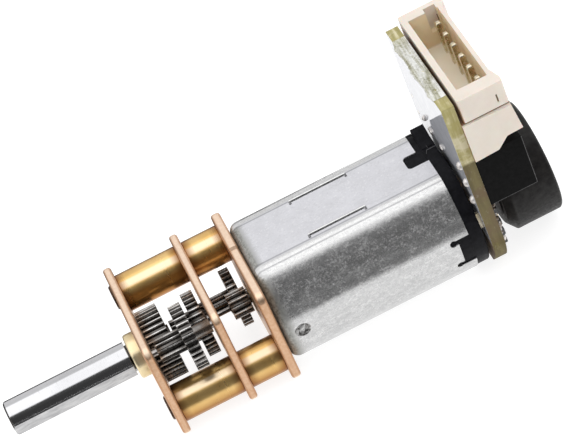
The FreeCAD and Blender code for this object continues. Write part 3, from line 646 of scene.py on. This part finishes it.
def make_dimple_marks():
    """The torn floor of the punched dimple in each round side."""
    rings, steps = 7, 26
    floor_y, floor_radius = 5.60, 0.50
    for name, side in (("dimple_mark_near", 1), ("dimple_mark_far", -1)):
        bm = bmesh.new()
        centre = Vector((DIMPLE_X, side * floor_y, DIMPLE_Z))
        rows = []
        for ring in range(1, rings + 1):
            radius = floor_radius * ring / rings
            row = []
            for step in range(steps):
                angle = 2 * math.pi * step / steps
                wave = 0.08 * math.sin(3 * angle + 0.8) + random.uniform(-0.05, 0.05)
                height = 0.24 * math.cos(0.5 * math.pi * ring / rings) + wave * ring / rings
                offset = Vector((radius * math.cos(angle), side * height, radius * math.sin(angle)))
                row.append(bm.verts.new((centre + offset) * MM))
            rows.append(row)
        top = bm.verts.new((centre + Vector((0, side * 0.22, 0))) * MM)
        for step in range(steps):
            bm.faces.new((top, rows[0][step], rows[0][(step + 1) % steps]))
        for inner, outer in zip(rows, rows[1:]):
            for step in range(steps):
                follow = (step + 1) % steps
                bm.faces.new((inner[step], outer[step], outer[follow], inner[follow]))
        bm.faces.new(rows[-1])
        add_piece(name, mesh_from(name, bm), "can_zinc")


def make_cap_ridges():
    """Moulded lines on the part of the end cap that shows between the can and the board."""
    worn = finish_of("worn cap edge", (0.07, 0.07, 0.075), grey(0.13), 0.0, (0.4, 0.6), bump=0.2)
    bm = bmesh.new()
    up = (0, 0, 1)
    corners = ((-28.38, -2.0), (-27.95, -1.75), (-27.72, -1.35), (-27.80, -0.95), (-27.62, -0.72))
    heights = (4.95, 4.94, 4.93, 4.92, 4.90)
    for first, second, low, high in zip(corners, corners[1:], heights, heights[1:]):
        add_ridge(bm, (*first, low), (*second, high), (0.6, 0.8, 0), up, 0.05, 0.035)
    tip = (*corners[-1], heights[-1])
    add_ridge(bm, tip, (-28.4, -0.72, 4.9), (0, 1, 0), up, 0.06, 0.04)
    add_ridge(bm, tip, (-27.40, -0.30, 4.88), (1, 0, 0), up, 0.05, 0.035)
    add_piece("cap_ridges", mesh_from("cap_ridges", bm), "cap_plastic", look=worn)


def make_sensor_edges():
    """Worn edges of the near Hall sensor's block."""
    worn = finish_of("worn epoxy edge", grey(0.045), grey(0.10), 0.0, (0.4, 0.6), bump=0.2)
    low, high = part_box("hall_sensor_near")
    inset, width, height = 0.03, 0.06, 0.035
    x_rear, x_front = low.x / MM + inset, -30.0
    y_near = high.y / MM - inset
    z_low, z_high = low.z / MM + inset, high.z / MM - 0.05
    corner = (x_rear, y_near, z_low)
    bm = bmesh.new()
    add_ridge(bm, corner, (x_rear, y_near, z_high), (0.7, 0.7, 0), (-0.7, 0.7, 0), width, height)
    add_ridge(bm, corner, (x_front, y_near, z_low), (0, 0.7, 0.7), (0, 0.7, -0.7), width, height)
    add_piece("sensor_edges", mesh_from("sensor_edges", bm), "sensor_epoxy", look=worn)


def make_snapped_edge():
    """Rough glass fibre where the board was snapped off its panel, along the upper edge."""
    y_low, y_high = -4.4, 4.5
    along, across = 150, 16
    end_lift = 0.12

    def fade_at(i):
        """0 at the two ends of the edge, and 1 from a ninth of its length inwards."""
        return min(1.0, 9.0 * min(i, along - i) / along)

    bm = bmesh.new()
    grid = []
    for i in range(along + 1):
        row = []
        y = y_low + (y_high - y_low) * i / along
        fade = fade_at(i)
        wave = 0.10 + 0.09 * math.sin(1.7 * y + 0.6) + 0.05 * math.sin(7.3 * y)
        overhang = fade * (wave + random.uniform(-0.03, 0.05))
        for j in range(across + 1):
            share = j / across
            x = BOARD_REAR_X + (BOARD_FRONT_X + overhang - BOARD_REAR_X) * share
            valley = -0.07 * math.sin(math.pi * min(1.0, 1.4 * share)) * (1.0 + math.sin(2.3 * y))
            tear = 0.05 * math.sin(23.0 * y + 9.0 * share) + 0.04 * math.sin(9.0 * y + 14.0 * share)
            lift = 0.27 + valley + tear + random.uniform(-0.05, 0.05)
            if j in (0, across):
                lift = 0.14 + random.uniform(-0.03, 0.03)
            z = BOARD_TOP_Z + end_lift + (lift - end_lift) * fade
            row.append(bm.verts.new((x * MM, y * MM, z * MM)))
        grid.append(row)
    for i in range(along):
        for j in range(across):
            bm.faces.new((grid[i][j], grid[i + 1][j], grid[i + 1][j + 1], grid[i][j + 1]))
    # ragged skirt down the front face, where the solder mask is torn off
    skirt_x = BOARD_FRONT_X - 0.02
    skirt = []
    for i, row in enumerate(grid):
        top = row[-1].co
        depth = (0.14 + 0.30 * fade_at(i) + random.uniform(-0.05, 0.05)) * MM
        skirt.append(bm.verts.new((skirt_x * MM, top.y, top.z - depth)))
    for i in range(along):
        bm.faces.new((grid[i][-1], grid[i + 1][-1], skirt[i + 1], skirt[i]))
    add_piece("snapped_edge", mesh_from("snapped_edge", bm), "board_laminate", look=torn_fibre())


def add_blob(bm, centre, size, seed):
    """A lumpy bead of solder; size gives its three half axes in mm."""
    start = len(bm.verts)
    bmesh.ops.create_icosphere(bm, subdivisions=3, radius=1.0)
    bm.verts.ensure_lookup_table()
    lumps = random.Random(seed)
    shift = [lumps.uniform(0, 6.3) for _ in range(3)]
    for vert in bm.verts[start:]:
        p = vert.co.copy()
        swell = 1.0 + 0.10 * math.sin(3.0 * p.x + shift[0]) + 0.10 * math.sin(3.6 * p.y + shift[1])
        swell += 0.08 * math.sin(4.1 * p.z + shift[2])
        vert.co = Vector([(c + p[k] * size[k] * swell) * MM for k, c in enumerate(centre)])


def make_front_solder():
    """Three solder beads on the board's front face: two low ones and a taller one round a wire end."""
    bm = bmesh.new()
    add_blob(bm, (BOARD_FRONT_X, -2.45, 5.05), (0.16, 0.42, 0.20), 1)
    add_blob(bm, (BOARD_FRONT_X, 0.0, 5.02), (0.14, 0.36, 0.16), 2)
    add_blob(bm, (BOARD_FRONT_X + 0.02, -2.9, 6.15), (0.24, 0.20, 0.26), 3)
    add_piece("board_solder", mesh_from("board_solder", bm), "solder")


def make_rear_solder():
    """A column of small solder beads down the near edge of the board's rear face."""
    stained = finish_of("flux-stained solder", (0.16, 0.12, 0.09), (0.78, 0.74, 0.70), 0.8, (0.3, 0.5),
                        scale=2200, bump=0.5, grain=3500, contrast=(0.44, 0.56), relief=0.03)
    bm = bmesh.new()
    z, first_seed = 2.05, 10
    for number in range(11):
        size = random.uniform(0.10, 0.22)
        y = 5.66 - 0.042 * max(0, number - 4) ** 1.5 - random.uniform(0.0, 0.12)
        centre = (BOARD_REAR_X - 0.06 - random.uniform(0.0, 0.12), y, z)
        half_axes = (size * random.uniform(0.7, 1.3), size, size * random.uniform(0.8, 1.5))
        add_blob(bm, centre, half_axes, first_seed + number)
        z -= random.uniform(0.30, 0.62)
    add_piece("rear_solder", mesh_from("rear_solder", bm), "solder", look=stained)


def make_board_chips():
    """Four tiny chips in a column low on the board's rear face."""
    thick, wide = 0.38, 0.62
    chip_x = BOARD_REAR_X - 0.20
    bm = bmesh.new()
    chips = ((5.35, 1.35, 0.34), (5.30, 0.05, 0.30), (5.15, -1.15, 0.34), (4.75, -2.45, 0.26))
    for y, z, half_height in chips:
        for vert in bmesh.ops.create_cube(bm, size=1.0)["verts"]:
            p = vert.co
            vert.co = Vector((chip_x + p.x * thick, y + p.y * wide, z + p.z * 2 * half_height)) * MM
    bmesh.ops.bevel(bm, geom=bm.edges[:], offset=0.05 * MM, segments=2, affect="EDGES")
    add_piece("board_chips", mesh_from("board_chips", bm), "chip_ceramic")


# ---------------------------------------------------------------- floor, light and camera
FLOOR_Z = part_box("motor_can")[0].z


def flat_sheet(name, x_span, y_span, height):
    """A level rectangle between the given ends along X and Y, in metres."""
    (left, right), (near, far) = x_span, y_span
    mesh = bpy.data.meshes.new(name)
    corners = [(left, near, 0), (right, near, 0), (right, far, 0), (left, far, 0)]
    mesh.from_pydata(corners, [], [(0, 1, 2, 3)])
    sheet = bpy.data.objects.new(name, mesh)
    sheet.location.z = height
    bpy.context.scene.collection.objects.link(sheet)
    return sheet


def make_floor():
    """A pale floor just under the part, bright enough to look white."""
    floor = flat_sheet("floor", (-1.5, 1.5), (-1.5, 1.5), FLOOR_Z - 0.00002)
    mat, shader = new_material("pale floor")
    g = Graph(mat.node_tree)
    colour = g.ramp(g.noise(30.0), ((0.3, grey(0.31)), (0.7, grey(0.34))))
    g.put(colour, shader.inputs["Base Color"])
    shader.inputs["Roughness"].default_value = 0.8
    shader.inputs["Specular IOR Level"].default_value = 0.1
    shader.inputs["Emission Color"].default_value = (1.0, 1.0, 1.0, 1.0)
    shader.inputs["Emission Strength"].default_value = 0.84
    floor.data.materials.append(mat)


def make_gobo(name, x_span, y_span):
    """A dark studio card lying beside the part, which only its reflections see."""
    card = flat_sheet(name, x_span, y_span, FLOOR_Z - 0.00001)
    black = finish_of("black card", grey(0.03), grey(0.04), 0.0, (0.7, 0.8), scale=60, bump=0)
    card.data.materials.append(black)
    card.visible_camera = False
    card.visible_diffuse = False
    card.visible_shadow = False


# degrees from the near side over the top to the far side, and how bright the studio is there
STUDIO = ((0, 0.055), (30, 0.055), (52, 0.09), (58, 1.55), (120, 1.55), (128, 0.84), (180, 0.88))


def make_world():
    """Soft studio surroundings: a dark near side, a bright ceiling and a light far side."""
    world = bpy.data.worlds.new("studio")
    bpy.context.scene.world = world
    world.use_nodes = True
    tree = world.node_tree
    tree.nodes.clear()
    g = Graph(tree)
    out = tree.nodes.new("ShaderNodeOutputWorld")
    back = tree.nodes.new("ShaderNodeBackground")
    g.link(back.outputs[0], out.inputs[0])
    angle = g.math("ARCTAN2", g.axis("Z", "Generated"), g.axis("Y", "Generated"))
    turn = g.math("DIVIDE", angle, math.pi)
    stops = [(degrees / 180.0, (level, level, level * 1.01)) for degrees, level in STUDIO]
    g.put(g.ramp(turn, stops), back.inputs[0])
    back.inputs[1].default_value = 1.0


def area_light(name, location, size, power):
    """A round lamp aimed at the gearbox, which reflections don't see."""
    data = bpy.data.lights.new(name, "AREA")
    data.shape = "DISK"
    data.size = size
    data.energy = power
    lamp = bpy.data.objects.new(name, data)
    lamp.location = location
    aim = Vector((-0.01, 0, 0)) - Vector(location)
    lamp.rotation_euler = aim.to_track_quat("-Z", "Y").to_euler()
    lamp.visible_glossy = False
    bpy.context.scene.collection.objects.link(lamp)


def make_camera():
    """Stands over the near side of the part and looks down on it, with the shaft at the lower left."""
    data = bpy.data.cameras.new("camera")
    data.sensor_width = 36.0
    data.lens = 174.28
    data.clip_start = 0.01
    camera = bpy.data.objects.new("camera", data)
    right = Vector((-0.891267, 0.325374, -0.315872))
    up = Vector((-0.450932, -0.562167, 0.693273))
    back = Vector((0.048, 0.760328, 0.647763))
    stand = Vector((-0.0042555, 0.1657661, 0.1469574))
    camera.matrix_world = Matrix.Translation(stand) @ Matrix((right, up, back)).transposed().to_4x4()
    bpy.context.scene.collection.objects.link(camera)
    bpy.context.scene.camera = camera


make_lance_lips()
make_dimple_marks()
make_cap_ridges()
make_sensor_edges()
make_snapped_edge()
make_front_solder()
make_rear_solder()
make_board_chips()
make_floor()
make_gobo("front_gobo", x_span=(-0.3, 0.3), y_span=(0.022, 0.5))
make_gobo("shaft_gobo", x_span=(0.001, 0.3), y_span=(0.016, 0.022))
make_gobo("rear_gobo", x_span=(-0.0235, 0.3), y_span=(-0.5, -0.011))
make_world()
area_light("fill", (0.02, 0.45, 0.10), size=0.30, power=0.8)
area_light("rim", (-0.10, -0.35, 0.20), size=0.30, power=0.5)
make_camera()
bpy.context.scene.view_settings.view_transform = "Standard"
